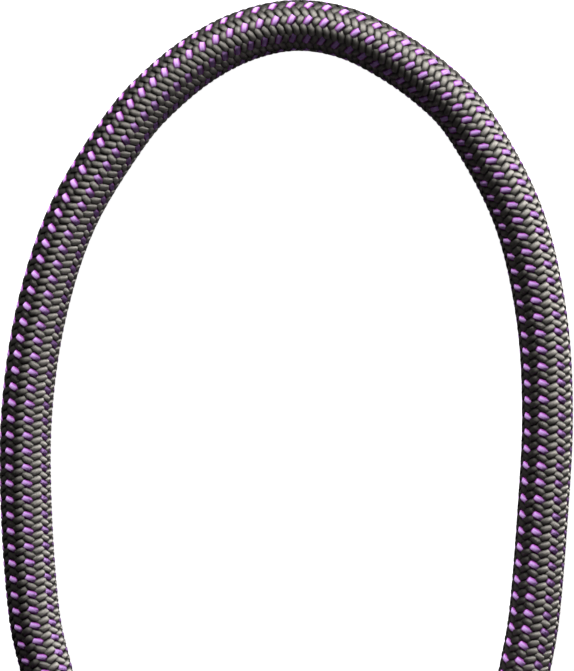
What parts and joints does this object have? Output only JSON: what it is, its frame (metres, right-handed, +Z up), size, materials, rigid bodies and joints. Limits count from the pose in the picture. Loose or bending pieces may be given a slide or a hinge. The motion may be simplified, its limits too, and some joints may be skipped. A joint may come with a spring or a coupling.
{
  "type": "dynamic climbing rope",
  "caption": "Short kernmantle climbing rope with a braided two-colour sheath over a core of parallel strands, one bight drawn out of a tied hank.",
  "frame": {"origin": "middle of the tied hank, on the floor under its tie", "axes": "+Z up, +Y along the hank's runs towards the bight, +X to the right of someone who looks along +Y"},
  "size_m": [0.1613, 0.4369, 0.047],
  "materials": {
    "braid": "braided nylon yarns, taupe grey with purple, matt with a slight sheen",
    "core_nylon": "undyed twisted nylon",
    "webbing": "plain woven strap, matt black",
    "shrink_film": "plain black heat-shrunk film, satin",
    "melted_nylon": "melted and hardened nylon"
  },
  "bodies": {
    "root": {"sheath": "braid", "hanked_rope": "braid", "core_strand_01": "core_nylon", "core_strand_02": "core_nylon", "core_strand_03": "core_nylon", "core_strand_04": "core_nylon", "core_strand_05": "core_nylon", "core_strand_06": "core_nylon", "core_strand_07": "core_nylon", "core_strand_08": "core_nylon", "core_strand_09": "core_nylon", "core_strand_10": "core_nylon", "core_strand_11": "core_nylon", "core_strand_12": "core_nylon", "hank_tie": "webbing", "end_sleeve_a": "shrink_film", "end_sleeve_b": "shrink_film", "fused_end_a": "melted_nylon", "fused_end_b": "melted_nylon"}
  },
  "joints": []
}
